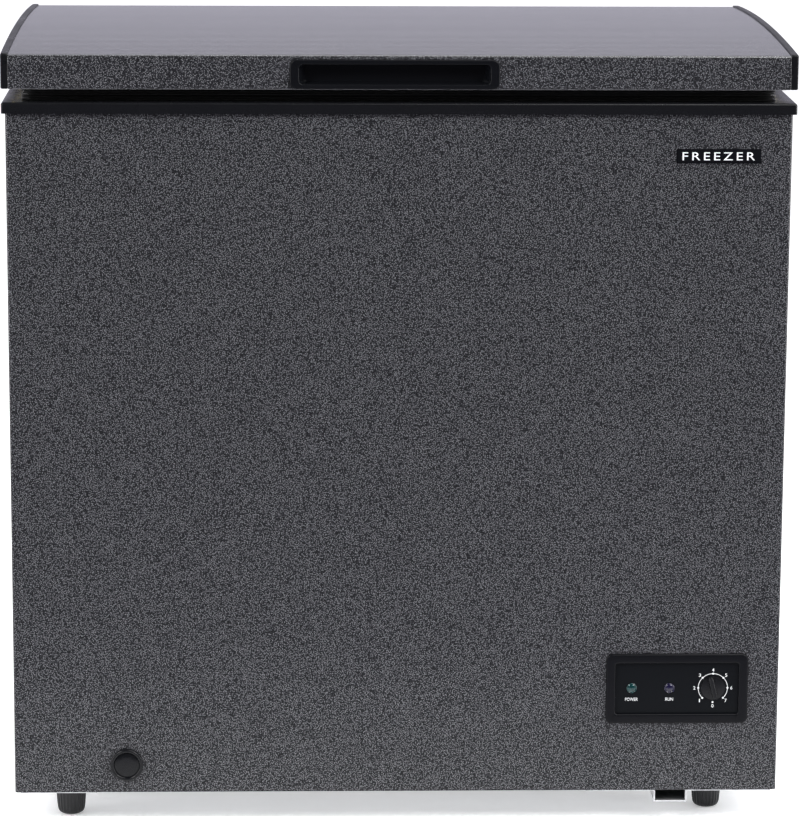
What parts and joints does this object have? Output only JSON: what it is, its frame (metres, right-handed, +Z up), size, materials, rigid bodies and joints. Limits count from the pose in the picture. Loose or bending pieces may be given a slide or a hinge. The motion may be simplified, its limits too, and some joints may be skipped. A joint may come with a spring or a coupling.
{
  "type": "chest freezer",
  "caption": "Chest freezer with a crowned rear-hinged lid, hammered dark grey steel sides, black collar, low control panel with dial, and levelling feet.",
  "frame": {"origin": "on the floor, at the middle of the footprint", "axes": "+X to the right seen from the front, +Y to the back, +Z up; the front faces -Y"},
  "size_m": [0.85, 0.561, 0.8628],
  "materials": {
    "cabinet_paint": "hammered dark grey paint",
    "back_steel": "plain grey paint",
    "galvanised": "galvanised sheet",
    "zinc": "bright zinc plate",
    "liner_white": "white painted aluminium",
    "foam": "rigid polyurethane foam",
    "black_plastic": "black moulded plastic",
    "gloss_black": "glossy black plastic",
    "white_plastic": "white plastic",
    "gasket_rubber": "soft black vinyl",
    "black_rubber": "black rubber",
    "green_lens": "translucent green lens",
    "blue_lens": "translucent blue lens",
    "board": "green circuit board",
    "compressor_black": "black painted steel pot",
    "copper": "copper tube",
    "drier_copper": "copper can",
    "basket_wire": "white coated steel wire",
    "spring_steel": "spring steel"
  },
  "bodies": {
    "cabinet": {"outer_shell": "cabinet_paint", "back_panel": "back_steel", "base_pan": "galvanised", "bay_wall": "galvanised", "base_plates": "galvanised", "foot_inserts": "zinc", "liner": "liner_white", "evaporator_coil": "copper", "condenser_coil": "copper", "cabinet_foam": "foam", "collar_front": "black_plastic", "collar_rear": "black_plastic", "collar_left": "black_plastic", "collar_right": "black_plastic", "hinge_housing_right": "zinc", "hinge_housing_left": "zinc", "rear_screws": "zinc", "hinge_springs": "spring_steel", "control_bezel": "gloss_black", "panel_pegs": "gloss_black", "control_fascia": "black_plastic", "power_lens": "green_lens", "run_lens": "blue_lens", "indicator_board": "board", "thermostat_body": "white_plastic", "badge_plate": "black_plastic", "drain_tube": "white_plastic", "compressor_shell": "compressor_black", "compressor_grommets": "black_rubber", "compressor_bolts": "zinc", "terminal_cover": "black_plastic", "start_relay": "black_plastic", "discharge_line": "copper", "suction_line": "copper", "filter_drier": "drier_copper", "drier_tubes": "copper", "rear_cover": "back_steel", "cord_gland": "black_plastic", "side_grille": "black_plastic"},
    "lid": {"lid_skin": "cabinet_paint", "lid_foam": "foam", "lid_liner": "white_plastic", "lid_gasket": "gasket_rubber", "end_cap_right": "black_plastic", "end_cap_left": "black_plastic", "handle_cup": "gloss_black", "hinge_leaves": "zinc", "hinge_pins": "zinc", "leaf_screws": "zinc"},
    "plunger_left": {"hinge_plunger_left": "black_plastic"},
    "plunger_right": {"hinge_plunger_right": "black_plastic"},
    "knob": {"thermostat_knob": "black_plastic", "thermostat_spindle": "white_plastic"},
    "basket": {"wire_basket": "basket_wire"},
    "outer_drain_cap": {"drain_cap": "black_plastic"},
    "inner_drain_plug": {"drain_plug": "white_plastic"},
    "foot_front_left": {"foot_front_left": "black_plastic"},
    "foot_front_right": {"foot_front_right": "black_plastic"},
    "foot_rear_left": {"foot_rear_left": "black_plastic"},
    "foot_rear_right": {"foot_rear_right": "black_plastic"}
  },
  "joints": [
    {"name": "lid_hinge", "type": "hinge", "parent": "cabinet", "child": "lid", "pos_m": [0, 0.268, 0.81], "axis": [-1, 0, 0], "range_deg": [0, 85]},
    {"name": "plunger_left_slide", "type": "slide", "parent": "cabinet", "child": "plunger_left", "axis": [0, 0, 1], "range_m": [0, 0.0054]},
    {"name": "plunger_right_slide", "type": "slide", "parent": "cabinet", "child": "plunger_right", "axis": [0, 0, 1], "range_m": [0, 0.0054], "deforming": ["hinge_springs"]},
    {"name": "thermostat_turn", "type": "hinge", "parent": "cabinet", "child": "knob", "pos_m": [0.3485, -0.2745, 0.155], "axis": [0, 1, 0], "range_deg": [-166, 149]},
    {"name": "basket_slide", "type": "slide", "parent": "cabinet", "child": "basket", "axis": [1, 0, 0], "range_m": [0, 0.43]},
    {"name": "outer_drain_cap_pull", "type": "slide", "parent": "cabinet", "child": "outer_drain_cap", "axis": [0, -1, 0], "range_m": [0, 0.03]},
    {"name": "inner_drain_plug_pull", "type": "slide", "parent": "cabinet", "child": "inner_drain_plug", "axis": [0, 0, 1], "range_m": [0, 0.03]},
    {"name": "foot_front_left_turn", "type": "hinge", "parent": "cabinet", "child": "foot_front_left", "pos_m": [-0.362, -0.2245, 0.02], "axis": [0, 0, 1], "continuous": true},
    {"name": "foot_front_right_turn", "type": "hinge", "parent": "cabinet", "child": "foot_front_right", "pos_m": [0.3508, -0.2075, 0.02], "axis": [0, 0, 1], "continuous": true},
    {"name": "foot_rear_left_turn", "type": "hinge", "parent": "cabinet", "child": "foot_rear_left", "pos_m": [-0.362, 0.1915, 0.02], "axis": [0, 0, 1], "continuous": true},
    {"name": "foot_rear_right_turn", "type": "hinge", "parent": "cabinet", "child": "foot_rear_right", "pos_m": [0.3508, 0.1915, 0.02], "axis": [0, 0, 1], "continuous": true}
  ],
  "couplings": [
    {"joint": "plunger_left_slide", "follows": "lid_hinge", "m_per_rad": 0.00364},
    {"joint": "plunger_right_slide", "follows": "lid_hinge", "m_per_rad": 0.00364}
  ]
}
